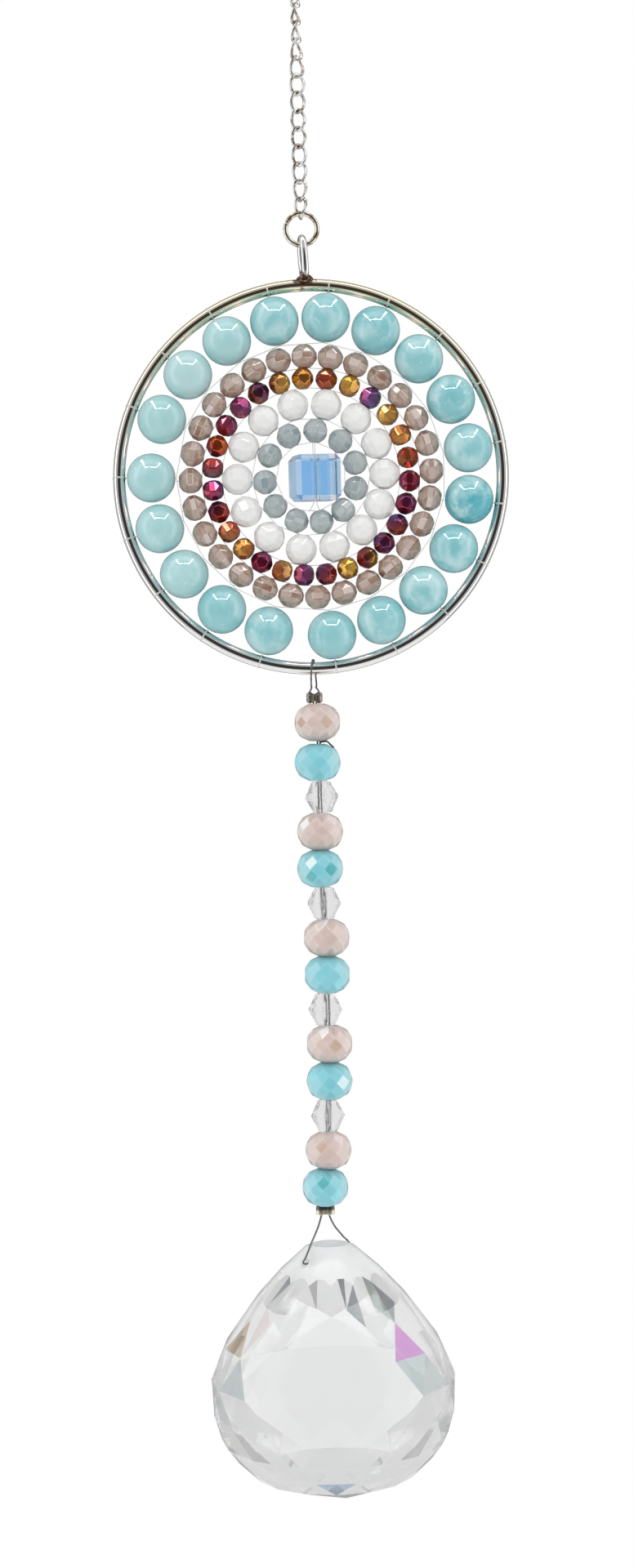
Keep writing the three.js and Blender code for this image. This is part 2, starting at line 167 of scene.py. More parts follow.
def add_row(corners, radius, height, turn=0):
    """Adds a row of corners round Z to the piece in edit mode."""
    bpy.ops.mesh.primitive_circle_add(vertices=corners, radius=radius, location=(0, 0, height),
                                      rotation=(0, 0, turn))


def hull(flat, **options):
    """Closes the rows to a solid, and joins facets that bend by less than flat degrees."""
    select_all()
    bpy.ops.mesh.convex_hull(**options)
    select_all()
    bpy.ops.mesh.dissolve_limited(angle_limit=radians(flat))


def only(piece):
    """Leaves this piece alone in the selection, and active."""
    bpy.ops.object.select_all(action="DESELECT")
    piece.select_set(True)
    bpy.context.view_layer.objects.active = piece


def smooth(piece, angle):
    """Shades the piece smooth, apart from edges sharper than the angle in degrees."""
    only(piece)
    bpy.ops.object.shade_smooth_by_angle(angle=radians(angle))
    return piece


def modify(piece, kind, **values):
    """Adds a modifier and applies it at once."""
    only(piece)
    modifier = piece.modifiers.new(kind.lower(), kind)
    for name, value in values.items():
        setattr(modifier, name, value)
    bpy.ops.object.modifier_apply(modifier=modifier.name)
    return piece


def bevel(piece, width, angle, segments=1):
    """Bevels every edge that is sharper than the angle in degrees."""
    return modify(piece, "BEVEL", width=width, segments=segments, limit_method="ANGLE",
                  angle_limit=radians(angle))


def boolean(piece, other, operation):
    """Unites the other solid with the piece or takes it from the piece, and removes it."""
    modify(piece, "BOOLEAN", object=other, operation=operation, solver="EXACT")
    bpy.data.objects.remove(other)


def copy_of(piece):
    only(piece)
    bpy.ops.object.duplicate()
    return bpy.context.object


def applied(piece):
    """Makes the piece's place part of its mesh."""
    only(piece)
    bpy.ops.object.transform_apply(location=True, rotation=True, scale=True)
    return piece


def put(piece, place):
    """Sets the piece at its place and makes the place part of its mesh."""
    piece.matrix_world = place
    return applied(piece)


def joined(pieces):
    only(pieces[0])
    for piece in pieces[1:]:
        piece.select_set(True)
    bpy.ops.object.join()
    return bpy.context.object


def finished(piece, name, finish, slot, *nodes):
    """Names the piece, gives it its finish and lets it ride and stand for its CAD nodes."""
    applied(piece)
    piece.name = piece.data.name = name
    piece.data.materials.clear()
    piece.data.materials.append(finish)
    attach(piece, "root")
    if nodes:
        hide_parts(*nodes)
    return piece


def in_scene(name, data):
    """A new object in the scene."""
    made = bpy.data.objects.new(name, data)
    bpy.context.scene.collection.objects.link(made)
    return made


def strung(runs, diameter, closed=False, resolution=4, sides=2):
    """Thread or wire drawn along runs of points, as one mesh."""
    drawing = bpy.data.curves.new("run", "CURVE")
    drawing.dimensions = "3D"
    drawing.bevel_depth = diameter / 2
    drawing.bevel_resolution = sides
    drawing.use_fill_caps = True
    drawing.resolution_u = resolution
    for run in runs:
        spline = drawing.splines.new("BEZIER")
        spline.bezier_points.add(len(run) - 1)
        for knot, point in zip(spline.bezier_points, run):
            knot.co = point
            knot.handle_left_type = knot.handle_right_type = "AUTO"
        spline.use_cyclic_u = closed
    only(in_scene("run", drawing))
    bpy.ops.object.convert(target="MESH")
    return smooth(bpy.context.object, 60)


# ---------------- nodes and shared effects

class Nodes:
    """The nodes of a tree. An input takes a plain value, or the output that feeds it."""

    def __init__(self, tree):
        self.tree = tree

    def feed(self, socket, value):
        if isinstance(value, bpy.types.NodeSocket):
            self.tree.links.new(value, socket)
        else:
            socket.default_value = value

    def add(self, kind, *inputs, **values):
        """A node: properties and inputs by name, or the first inputs in their order."""
        made = self.tree.nodes.new(kind)
        for label, value in values.items():
            if hasattr(made, label):
                setattr(made, label, value)
            else:
                self.feed(made.inputs[label.replace("_", " ")], value)
        for socket, value in zip(made.inputs, inputs):
            self.feed(socket, value)
        return made

    def place(self):
        return self.add("ShaderNodeTexCoord").outputs["Object"]

    def height(self):
        return self.add("ShaderNodeSeparateXYZ", self.place()).outputs["Z"]

    def math(self, operation, *inputs):
        return self.add("ShaderNodeMath", *inputs, operation=operation).outputs[0]

    def ramp(self, value, begin, end, begin_level=0.0, end_level=1.0, kind="SMOOTHSTEP"):
        """Goes from one level to the other as the value goes from begin to end."""
        return self.add("ShaderNodeMapRange", value, begin, end, begin_level, end_level,
                        interpolation_type=kind).outputs[0]


def new_group(name, inputs, output, kind):
    """A node group's nodes and the outputs of its inputs, which are given with their defaults."""
    group = bpy.data.node_groups.new(name, "ShaderNodeTree")
    for label, value in inputs.items():
        socket = group.interface.new_socket(label, in_out="INPUT", socket_type="NodeSocketFloat")
        socket.default_value = value
    group.interface.new_socket(output, in_out="OUTPUT", socket_type=kind)
    nodes = Nodes(group)
    return nodes, nodes.add("NodeGroupInput").outputs


def cloudiness():
    """Soft clouds through the piece, as a mask."""
    nodes, given = new_group("cloudiness", {"Scale": 300, "Low": 0.4, "High": 0.6},
                             "Mask", "NodeSocketFloat")
    noise = nodes.add("ShaderNodeTexNoise", Vector=nodes.place(), Scale=given["Scale"], Detail=4,
                      Roughness=0.55, Distortion=0.6)
    nodes.add("NodeGroupOutput", nodes.ramp(noise.outputs["Fac"], given["Low"], given["High"]))
    return nodes.tree


def fine_unevenness():
    """Small unevenness of a surface, as a normal."""
    nodes, given = new_group("fine_unevenness", {"Scale": 1500, "Height": 0.02},
                             "Normal", "NodeSocketVector")
    noise = nodes.add("ShaderNodeTexNoise", Vector=nodes.place(), Scale=given["Scale"], Detail=3,
                      Roughness=0.6)
    bump = nodes.add("ShaderNodeBump", Distance=0.1 * MM, Strength=given["Height"],
                     Height=noise.outputs["Fac"])
    nodes.add("NodeGroupOutput", bump.outputs["Normal"])
    return nodes.tree


CLOUDS = cloudiness()
UNEVEN = fine_unevenness()


class Finish(Nodes):
    """A material on the Principled BSDF, with plain values on the shader's own sockets."""

    def __init__(self, name, **values):
        self.material = bpy.data.materials.new(name)
        self.material.use_nodes = True
        super().__init__(self.material.node_tree)
        self.shader = self.tree.nodes["Principled BSDF"]
        for label, value in values.items():
            self.give(label.replace("_", " "), value)

    def give(self, label, value):
        self.feed(self.shader.inputs[label], value)

    def effect(self, group, **values):
        return self.add("ShaderNodeGroup", node_tree=group, **values).outputs[0]

    def clouds(self, scale, low, high):
        return self.effect(CLOUDS, Scale=scale, Low=low, High=high)

    def attribute(self, name):
        return self.add("ShaderNodeAttribute", attribute_name=name).outputs

    def mix(self, mask, one, other):
        """Two colours mixed by a mask; each is a colour or an output."""
        made = self.add("ShaderNodeMix", mask, data_type="RGBA")
        for socket, value in zip((s for s in made.inputs if s.type == "RGBA"), (one, other)):
            self.feed(socket, (*value, 1) if isinstance(value, tuple) else value)
        return next(s for s in made.outputs if s.type == "RGBA")

    def colour(self, mask, one, other):
        """Gives the surface two colours mixed by a mask."""
        self.give("Base Color", self.mix(mask, one, other))

    def uneven(self, scale, height):
        """Gives the surface its small unevenness."""
        self.give("Normal", self.effect(UNEVEN, Scale=scale, Height=height))


# ---------------- finishes

STEEL, STRAW, BURNT = (0.86, 0.86, 0.85), (0.92, 0.80, 0.54), (0.10, 0.035, 0.02)
STONE_CLOUD, STONE_VEIN = (0.50, 0.74, 0.76), (0.62, 0.82, 0.83)
THREAD_PALE, THREAD_GREY = (0.80, 0.80, 0.76), (0.66, 0.66, 0.62)
STRAND_DARK, STRAND_LIGHT = (0.13, 0.13, 0.13), (0.26, 0.26, 0.25)
CLEAR, FROST = (0.97, 0.98, 0.985), (0.93, 0.94, 0.95)


def plated(name, bright, tarnished):
    """Silver plating, tarnished in patches."""
    finish = Finish(name, Metallic=1, Roughness=0.07)
    finish.colour(finish.clouds(800, 0.44, 0.62), bright, tarnished)
    finish.uneven(500, 0.02)
    return finish.material


def hoop_steel(weld_place):
    """Polished steel, brown and black with heat round the weld, straw-coloured on its arch."""
    finish = Finish("hoop_steel", Metallic=1)
    reach = finish.add("ShaderNodeVectorMath", finish.place(), weld_place, operation="DISTANCE")
    ragged = finish.math("MULTIPLY_ADD", finish.clouds(700, 0.3, 0.7), 1.2 * MM,
                         reach.outputs["Value"])
    burnt = finish.ramp(ragged, 1.9 * MM, 2.9 * MM, 1.0, 0.0)
    height = finish.height()
    arch = finish.ramp(height, hoop_centre.z - 6 * MM, weld_place.z - 1.5 * MM, end_level=0.75)
    below_eye = finish.math("LESS_THAN", height, weld_place.z + 0.3 * MM)
    warm = finish.mix(finish.math("MULTIPLY", arch, below_eye), STEEL, STRAW)
    finish.colour(burnt, warm, BURNT)
    finish.give("Roughness", finish.ramp(burnt, 0.0, 1.0, 0.05, 0.45, kind="LINEAR"))
    finish.uneven(150, 0.02)
    return finish.material


def aqua_stone():
    """Polished cloudy stone: each bead has a tone of its own, paler clouds and a few veins."""
    finish = Finish("aqua_stone", Roughness=0.06, Specular_IOR_Level=0.7, Subsurface_Weight=0.6,
                    Subsurface_Radius=(1, 1, 1), Subsurface_Scale=2 * MM)
    clouded = finish.mix(finish.clouds(210, 0.42, 0.68), finish.attribute("tone")["Color"],
                         STONE_CLOUD)
    finish.colour(finish.clouds(800, 0.6, 0.8), clouded, STONE_VEIN)
    finish.uneven(150, 0.001)
    return finish.material


def tinted_glass(name, clouding, weight, **values):
    """Opaque cut glass: every facet or corner has its own tint, a little clouded."""
    finish = Finish(name, **values)
    mask = finish.math("MULTIPLY", finish.clouds(500, 0.35, 0.75), weight)
    finish.colour(mask, finish.attribute("tint")["Color"], clouding)
    finish.uneven(900, 0.04)
    return finish.material


def clear_glass(name, colour, ior, alpha):
    """Clear cut glass with the faintest streaks on its polish."""
    finish = Finish(name, Metallic=0.0, Transmission_Weight=1.0, IOR=ior, Roughness=0.0,
                    Alpha=alpha)
    finish.colour(finish.clouds(250, 0.3, 0.8), colour, tuple(0.97 * c for c in colour))
    finish.uneven(300, 0.01)
    return finish.material


def tinted_crystal(name, ior, clouding):
    """Clear cut crystal; each facet has its tint and its cover, faintly clouded."""
    finish = Finish(name, Metallic=0.0, Transmission_Weight=1.0, IOR=ior, Roughness=0.0)
    tint = finish.attribute("tint")
    mask = finish.math("MULTIPLY", finish.clouds(120, 0.3, 0.8), 0.15)
    finish.colour(mask, tint["Color"], clouding)
    finish.give("Alpha", tint["Alpha"])
    return finish.material


def neck_crystal():
    """The pressed surface of the ball's neck, a little frosted."""
    finish = Finish("neck_crystal", Metallic=0.0, Transmission_Weight=0.4, IOR=1.45,
                    Roughness=0.12, Alpha=0.75)
    finish.colour(finish.clouds(400, 0.3, 0.8), CLEAR, FROST)
    finish.uneven(500, 0.1)
    return finish.material


def nylon():
    finish = Finish("nylon", Roughness=0.25, Specular_IOR_Level=0.6)
    finish.colour(finish.clouds(1200, 0.3, 0.7), THREAD_PALE, THREAD_GREY)
    finish.uneven(4000, 0.05)
    return finish.material


def beading_wire():
    """Fine strands laid together, under a clear skin."""
    finish = Finish("beading_wire", Metallic=0.9, Roughness=0.32)
    strands = finish.add("ShaderNodeTexWave", finish.place(), wave_type="BANDS",
                         bands_direction="DIAGONAL", Scale=900, Distortion=1.0).outputs["Fac"]
    finish.colour(strands, STRAND_DARK, STRAND_LIGHT)
    bump = finish.add("ShaderNodeBump", Strength=0.3, Distance=0.05 * MM, Height=strands)
    finish.give("Normal", bump.outputs["Normal"])
    return finish.material


def crimp_metal(name, dull, bright, edge_z, span):
    """Squeezed soft metal, with a tone of its own below the height edge_z."""
    finish = Finish(name, Metallic=1, Roughness=0.35)
    lip = finish.ramp(finish.height(), edge_z + span, edge_z - span, kind="LINEAR")
    dulled = finish.mix(finish.clouds(1300, 0.4, 0.65), dull, tuple(0.45 * c for c in dull))
    finish.colour(lip, dulled, bright)
    finish.uneven(1500, 0.2)
    return finish.material


# ---------------- rings and chain

JUMP_SWEEP = {"begin": 158, "sweep": 355}  # degrees: its ends don't quite meet

# How far the links turn aside, in degrees, with the links counted from the chain's foot: by
# lower_turn at the foot, fading out over lower_links, and by upper_turn for each link above
# upper_from, up to upper_most.
FACING = {"lower_turn": -45, "lower_links": 3, "upper_turn": 26, "upper_from": 7, "upper_most": 72}


def bent_wire(centre, radius, wire, begin=0.0, sweep=360.0, steps=64, sides=14):
    """Round wire bent to a ring in the XZ plane, open where the sweep isn't the whole round."""
    section = centre + Vector((radius, 0, 0))
    ring = start("circle", vertices=sides, radius=wire / 2, location=section, fill_type="NGON")
    if sweep == 360:
        bpy.ops.mesh.delete(type="ONLY_FACE")
        select_all()
    bpy.ops.mesh.spin(steps=steps, angle=radians(sweep), center=centre, axis=(0, 1, 0))
    applied(whole(ring))
    around = Matrix.Translation(centre) @ Matrix.Rotation(radians(-begin), 4, "Y")
    return smooth(put(ring, around @ Matrix.Translation(-centre)), 50)


def model_rings():
    silver = plated("silver_plate", (0.92, 0.91, 0.90), (0.40, 0.34, 0.28))
    aged = plated("aged_silver", (0.92, 0.87, 0.76), (0.34, 0.23, 0.12))
    centre = middle("hanging_ring")
    hanging_radius = RING_WIRE / 2 - centre.z  # the origin is the inner top of this ring
    ring = bent_wire(centre, hanging_radius, RING_WIRE)
    finished(ring, "hanging_ring_wire", silver, "silver", "hanging_ring")
    low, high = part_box("jump_ring")
    jump_radius = (high.x - low.x - JUMP_WIRE) / 2
    jump = bent_wire(middle("jump_ring"), jump_radius, JUMP_WIRE, **JUMP_SWEEP)
    finished(jump, "jump_ring_wire", aged, "silver", "jump_ring")
    model_chain(silver)


def curb_link():
    """An oval link of round wire that twists a quarter turn from end to end."""
    link = applied(primitive("torus", major_radius=LINK["half_width"],
                             minor_radius=LINK["wire"] / 2, major_segments=32,
                             minor_segments=10, rotation=(pi / 2, 0, 0)))
    stretch = LINK["half_length"] - LINK["half_width"]
    for point in link.data.vertices:
        ends = min(1.0, abs(point.co.z) / (0.75 * LINK["half_width"]))
        point.co.z += copysign(stretch * ends, point.co.z)
    modify(link, "SIMPLE_DEFORM", deform_method="TWIST", deform_axis="Z", angle=radians(90))
    return smooth(link, 60)


def link_facing(from_bottom):
    """The chain hangs facing the front, and turns aside towards the rings at its ends."""
    lower = FACING["lower_turn"] * max(0, 1 - from_bottom / FACING["lower_links"])
    upper = FACING["upper_turn"] * max(0, from_bottom - FACING["upper_from"])
    return lower + min(FACING["upper_most"], upper)


def model_chain(silver):
    top_link_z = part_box("chain")[1].z - LINK["half_length"] - LINK["wire"] / 2
    pattern = curb_link()
    links = []
    for i in range(LINK_COUNT):
        facing = radians(link_facing(LINK_COUNT - 1 - i))
        place = Matrix.Translation((0, 0, top_link_z - i * LINK["pitch"]))
        links.append(put(copy_of(pattern), place @ Matrix.Rotation(facing, 4, "Z")))
    bpy.data.objects.remove(pattern)
    finished(joined(links), "curb_chain", silver, "silver", "chain")


# ---------------- hoop with its welded eye

EYE = {"height": 7.65 * MM, "depth": 4.4 * MM, "points": 16}
EYE_TURN = radians(9)
EYE_FLATNESS = 0.7  # 1 gives an ellipse, and less gives flatter front and back
EYE_SHIFT = 0.2 * MM  # how far right of the jump ring it stands
EYE_FOOT, EYE_LEAN = 0.12, 0.35  # mm: how far right its foot is, and how far left it leans
WELD = {"radius": 1.35 * MM, "left": 0.1 * MM, "sunk": 0.2 * MM, "rough": 0.16 * MM}


def model_eye():
    """The tall narrow eye, flattened in front and behind, leaning a little."""
    eye_x = middle("jump_ring").x + EYE_SHIFT
    eye_top = hoop_high.z - EYE_WIRE / 2
    half_height, half_depth = (EYE["height"] - EYE_WIRE) / 2, (EYE["depth"] - EYE_WIRE) / 2
    turn = Matrix.Rotation(EYE_TURN, 3, "Z")
    loop = []
    for i in range(EYE["points"]):
        around = (i + 0.5) / EYE["points"] * 2 * pi
        flat = copysign(abs(cos(around)) ** EYE_FLATNESS, cos(around))
        point = Vector((0, half_depth * flat,
                        eye_top - half_height + half_height * sin(around)))
        risen = 1 + (point.z - eye_top) / (2 * half_height)
        loop.append(turn @ point + Vector((eye_x + (EYE_FOOT - EYE_LEAN * risen) * MM, 0, 0)))
    return strung([loop], EYE_WIRE, closed=True, sides=4)


def model_hoop():
    top = hoop_centre + Vector((0, 0, hoop_outer))
    eye = model_eye()
    ring = bent_wire(hoop_centre, hoop_radius, HOOP_WIRE, steps=160, sides=20)
    weld = start("ico_sphere", subdivisions=3, radius=WELD["radius"], scale=(1.1, 1.1, 0.7),
                 location=(hoop_centre.x - WELD["left"], 0, top.z - WELD["sunk"]))
    select_all()
    bpy.ops.transform.vertex_random(offset=WELD["rough"], seed=4)
    object_mode()
    modify(applied(weld), "SMOOTH", factor=0.6, iterations=2)
    for part in (eye, weld):
        boolean(ring, part, "UNION")
    smooth(ring, 40)
    finished(ring, "hoop_with_eye", hoop_steel(top), "steel", "hoop")


# ---------------- beads

def clock_angles(count, first, gaps=None, drift=(), **_):
    """The clock angle of each bead of a round."""
    gaps = gaps or {}
    step = (360 - sum(gaps.values())) / count
    angles, even = [], first
    for i in range(count):
        moved = sum(size * cos(radians((k + 1) * even - phase))
                    for k, (size, phase) in enumerate(drift))
        angles.append(even + moved)
        even += step + gaps.get(i, 0)
    return angles


def on_clock(radius, clock, depth=0.0):
    turn = radians(clock)
    return hoop_centre + Vector((radius * sin(turn), depth, radius * cos(turn)))


def on_thread(radius, clock, spin):
    """The place of a bead on its thread, its hole along the hoop's radius."""
    place = Matrix.Translation(on_clock(radius, clock))
    return place @ Matrix.Rotation(radians(clock), 4, "Y") @ Matrix.Rotation(spin, 4, "Z")


def cut_bead(rows, corners, bore, turned=(1, 3, 5)):
    """A cut bead about Z: rows of corners (radius, height), the turned ones half a step on."""
    foot, low = rows[0]
    bead = applied(primitive("circle", vertices=corners, radius=foot, location=(0, 0, low)))
    edit_mode()
    for i, (radius, height) in enumerate(rows[1:], start=1):
        add_row(corners, radius, height, pi / corners if i in turned else 0)
    hull(0.6)
    return drilled(bead, (foot - bore / 2) * cos(pi / corners))


def tinted(bead, choose, domain="FACE", cover=1.0):
    """Gives each facet the tint that choose(facet) returns, and how much it covers.

    In the domain POINT each corner has a tint instead, so that tints run over the facets.
    """
    tints = bead.data.attributes.new("tint", "FLOAT_COLOR", domain)
    parts = bead.data.polygons if domain == "FACE" else bead.data.vertices
    for part, tint in zip(parts, tints.data):
        tint.color = (*choose(part), cover)
    return bead


def varied(colour, amount, chance):
    """The colour, lighter or darker by up to the amount."""
    share = 1 + chance.uniform(-amount, amount)
    return tuple(min(1.0, c * share) for c in colour)


def softened(bead, width):
    """Polished edges: a narrow bevel on every edge of the cut."""
    return bevel(bead, width, 8)


STONE_BEAD, STONE_BORE, STONE_RIM = 8 * MM, 1.2 * MM, 0.1 * MM
STONE_TONES = {
    "palest": (0.50, 0.70, 0.70), "pale": (0.42, 0.67, 0.68), "mid": (0.30, 0.61, 0.64),
    "deep": (0.25, 0.57, 0.61), "teal": (0.12, 0.47, 0.54),
}
STONE_ROUND = ["mid", "deep", "mid", "deep", "mid", "teal", "deep", "mid", "mid", "mid", "mid",
               "mid", "pale", "pale", "pale", "pale", "palest", "pale", "mid"]


def round_bead(across, bore):
    """A round bead drilled through along Z, the rims of its hole rounded."""
    bead = start("uv_sphere", segments=64, ring_count=40, radius=across / 2)
    reach = sqrt((across / 2) ** 2 - (bore / 2 + 1.2 * STONE_RIM) ** 2)
    pick_faces(bead, lambda face: abs(face.center.z) > reach)
    bpy.ops.mesh.delete(type="FACE")
    bpy.ops.mesh.select_mode(type="EDGE")
    select_all("DESELECT")
    bpy.ops.mesh.select_non_manifold()
    bpy.ops.mesh.bridge_edge_loops()
    whole(bead)
    return smooth(bevel(bead, STONE_RIM, 50, segments=2), 50)


def model_aqua_round():
    pattern = round_bead(STONE_BEAD, STONE_BORE)
    stone = aqua_stone()
    chance = random.Random(3)
    for i, clock in enumerate(clock_angles(**ROUNDS["aqua"])):
        bead = copy_of(pattern)
        put(bead, on_thread(ROUNDS["aqua"]["radius"] * MM, clock, chance.uniform(0, 6.28)))
        tone = bead.data.attributes.new("tone", "FLOAT_COLOR", "POINT")
        for value in tone.data:
            value.color = (*STONE_TONES[STONE_ROUND[i]], 1)
        number = f"{i + 1:02d}"
        finished(bead, f"aqua_stone_bead_{number}", stone, "aqua_stone", f"aqua_bead_{number}")
    bpy.data.objects.remove(pattern)


def small_rondelle(across, along):
    """Rows of corners of a small cut rondelle, from one table to the other."""
    r, h = across / 2, along / 2
    return [(0.44 * r, -h), (0.77 * r, -0.7 * h), (r, -0.26 * h), (r, 0.26 * h),
            (0.77 * r, 0.7 * h), (0.44 * r, h)]


SMALL_BORE, SMALL_POLISH = 0.7 * MM, 0.09 * MM
GIRDLE = 0.2  # a facet whose normal rises by less than this lies on the bead's girdle

# Painted highlight and shade on the mauve beads: the girdle facets, which can face the front, draw
# shades from light to dark brown, the light ones standing in for lit facets; the flanks, seen at
# the rims, draw darker ones as painted shade.
MAUVE_GIRDLE = [(0.66, 0.56, 0.52), (0.52, 0.41, 0.37), (0.47, 0.35, 0.30), (0.28, 0.15, 0.10)]
MAUVE_FLANK = [(0.43, 0.33, 0.28), (0.34, 0.23, 0.17)]
MILK = (0.86, 0.86, 0.84)
# Painted highlight and shade on the smoky beads: girdle facets also draw the lightest grey, a
# painted highlight, and the dark blue, a painted shade.
SMOKES = [(0.37, 0.42, 0.42), (0.42, 0.47, 0.48), (0.52, 0.57, 0.57), (0.26, 0.34, 0.38)]
# Shades of the iridescent coatings: the coating's colours together with its painted sheen.
IRIS = {
    "gold": [(0.72, 0.42, 0.05), (0.80, 0.50, 0.12), (0.45, 0.20, 0.03), (0.30, 0.12, 0.02)],
    "olive": [(0.38, 0.22, 0.03), (0.60, 0.34, 0.05), (0.24, 0.11, 0.02), (0.55, 0.16, 0.03)],
    "orange": [(0.68, 0.14, 0.02), (0.75, 0.30, 0.03), (0.50, 0.06, 0.02), (0.22, 0.05, 0.02)],
    "crimson": [(0.36, 0.02, 0.05), (0.44, 0.05, 0.03), (0.14, 0.03, 0.16), (0.16, 0.01, 0.03)],
    "magenta": [(0.42, 0.02, 0.14), (0.32, 0.02, 0.12), (0.12, 0.03, 0.14), (0.14, 0.08, 0.28)],
    "teal": [(0.03, 0.08, 0.12), (0.08, 0.03, 0.07), (0.02, 0.12, 0.14), (0.30, 0.02, 0.08)],
    "purple": [(0.20, 0.06, 0.28), (0.38, 0.05, 0.20), (0.10, 0.08, 0.30), (0.16, 0.03, 0.10)],
}
# The coatings of each red bead: the main one, and the one that it turns to on one side. Their
# shades are the coating's colours with its interference sheen, which shifts with the view, painted
# in fixed.
RED_ROUND = [
    ("gold", "orange"), ("gold", "orange"), ("gold", "crimson"), ("magenta", "teal"),
    ("gold", "gold"), ("olive", "gold"), ("orange", "gold"), ("teal", "crimson"),
    ("crimson", "orange"), ("crimson", "purple"), ("crimson", "purple"), ("crimson", "gold"),
    ("gold", "olive"), ("crimson", "crimson"), ("crimson", "purple"), ("gold", "orange"),
    ("crimson", "teal"), ("olive", "gold"), ("orange", "gold"), ("crimson", "purple"),
    ("crimson", "teal"), ("crimson", "teal"), ("orange", "magenta"), ("purple", "crimson"),
    ("magenta", "crimson"), ("orange", "magenta"), ("gold", "orange"),
]


# Painted light: girdle facets draw the lighter shades, flanks the darker ones.
def mauve_tint(i, facet, chance):
    shades = MAUVE_GIRDLE if abs(facet.normal.z) < GIRDLE else MAUVE_FLANK
    return varied(chance.choice(shades), 0.06, chance)


def red_tint(i, point, chance):
    """Runs over the bead from one shade of its main coating through another to its second, as
    painted sheen fixed on the bead.
    """
    main, other = (IRIS[name] for name in RED_ROUND[i])
    aside = Vector((cos(2.4 * i), sin(2.4 * i), 0.7 * cos(1.7 * i)))
    share = point.co.normalized().dot(aside.normalized())
    ends = Vector(main[i % 2]), Vector(main[2 + i % 2]), Vector(other[(i + 1) % 4])
    blend = ends[1].lerp(ends[2], share) if share > 0 else ends[1].lerp(ends[0], -share)
    return varied(blend, 0.15, chance)


def white_tint(i, facet, chance):
    return varied(MILK, 0.05, chance)


# Painted light: only girdle facets may take the lightest and the darkest shades.
def smoky_tint(i, facet, chance):
    shades = SMOKES if abs(facet.normal.z) < GIRDLE else SMOKES[:2]
    return varied(chance.choice(shades), 0.05, chance)


def small_beads(name, size, corners, tint, domain="FACE"):
    """The beads of a round: one is cut, and its copies are tinted and laid."""
    across, along = size
    pattern = cut_bead(small_rondelle(across * MM, along * MM), corners, SMALL_BORE, (2, 3))
    softened(pattern, SMALL_POLISH)
    chance = random.Random(name)
    beads = []
    for i, clock in enumerate(clock_angles(**ROUNDS[name])):
        bead = tinted(copy_of(pattern), lambda part: tint(i, part, chance), domain)
        spin = chance.uniform(0, 2 * pi)
        beads.append(put(bead, on_thread(ROUNDS[name]["radius"] * MM, clock, spin)))
    bpy.data.objects.remove(pattern)
    return beads


def model_small_rounds():
    mauve = tinted_glass("mauve_glass", (0.62, 0.52, 0.44), 0.4, Roughness=0.1, Coat_Weight=0.6,
                         Coat_Roughness=0.04)
    iris = tinted_glass("iris_glass", (0.12, 0.015, 0.03), 0.4, Roughness=0.14, Metallic=0.8,
                        Coat_Weight=0.6, Coat_Roughness=0.03)
    white = tinted_glass("white_glass", (0.93, 0.93, 0.92), 0.5, Roughness=0.12)
    smoky = tinted_glass("smoky_glass", (0.42, 0.48, 0.48), 0.5, Roughness=0.1, Coat_Weight=0.5,
                         Coat_Roughness=0.04)
    joined_rounds = {
        "mauve": ("mauve_glass", mauve, (4.35, 3.75), 7, mauve_tint, "FACE"),
        "red": ("iris_glass", iris, (3.7, 3.4), 6, red_tint, "POINT"),
        "white": ("white_glass", white, (5.15, 4.75), 9, white_tint, "FACE"),
    }
    for name, (slot, finish, *cut) in joined_rounds.items():
        beads = joined(small_beads(name, *cut))
        finished(beads, f"{name}_beads", finish, slot, f"{name}_round")
    for i, bead in enumerate(small_beads("blue", (4.1, 3.75), 7, smoky_tint), start=1):
        number = f"{i:02d}"
        finished(bead, f"smoky_bead_{number}", smoky, "grey_blue_glass",
                 f"grey_blue_bead_{number}")


# ---------------- lacing

INSIDE_BEADS = 0.12  # mm from a bead's inner end to the thread that spans the round
WRAP = {"turns": 2, "steps": 16, "width": 0.3 * MM, "play": 0.01 * MM}
CUBE_THREADS = ((-0.16, -0.45), (0.16, 1.3))  # mm right of the cube's and of the hoop's middle


def polygon_point(angles, radius, clock):
    """Where a run at this clock angle meets the thread that spans from bead to bead."""
    after = min(angles, key=lambda a: (a - clock) % 360)
    before = min(angles, key=lambda a: (clock - a) % 360)
    span = (after - before) % 360
    share = ((clock - before) % 360) / span if span else 0
    return on_clock(radius, before).lerp(on_clock(radius, after), share)


def inner_reach(name):
    """How far from the centre a round's thread spans, just inside its beads."""
    return (ROUNDS[name]["radius"] - ROUNDS[name]["along"] / 2 - INSIDE_BEADS) * MM


def model_lacing():
    """Thread inside every round from bead to bead, and from each bead out to the round above."""
    thread = nylon()
    names = list(ROUNDS)
    for outer, name in zip([None, *names], names):
        angles = clock_angles(**ROUNDS[name])
        reach = inner_reach(name)
        runs = [[on_clock(reach, a), on_clock(reach, b)]
                for a, b in zip(angles, angles[1:] + angles[:1])]
        for clock in angles:
            if outer is None:
                far = on_clock(hoop_radius - HOOP_WIRE / 2, clock)
            else:
                far = polygon_point(clock_angles(**ROUNDS[outer]), inner_reach(outer), clock)
            runs.append([on_clock(reach, clock), far])
        lacing = strung(runs, THREAD, resolution=1, sides=1)
        if outer is None:
            lacing = joined([lacing, hoop_wraps(angles)])
            finished(lacing, "hoop_lacing_thread", thread, "nylon", "hoop_lacing")
        elif name == "blue":
            lacing = joined([lacing, cube_threads(reach)])
            finished(lacing, "inner_lacing_thread", thread, "nylon", "inner_lacing")
        else:
            finished(lacing, f"{name}_lacing_thread", thread, "nylon")


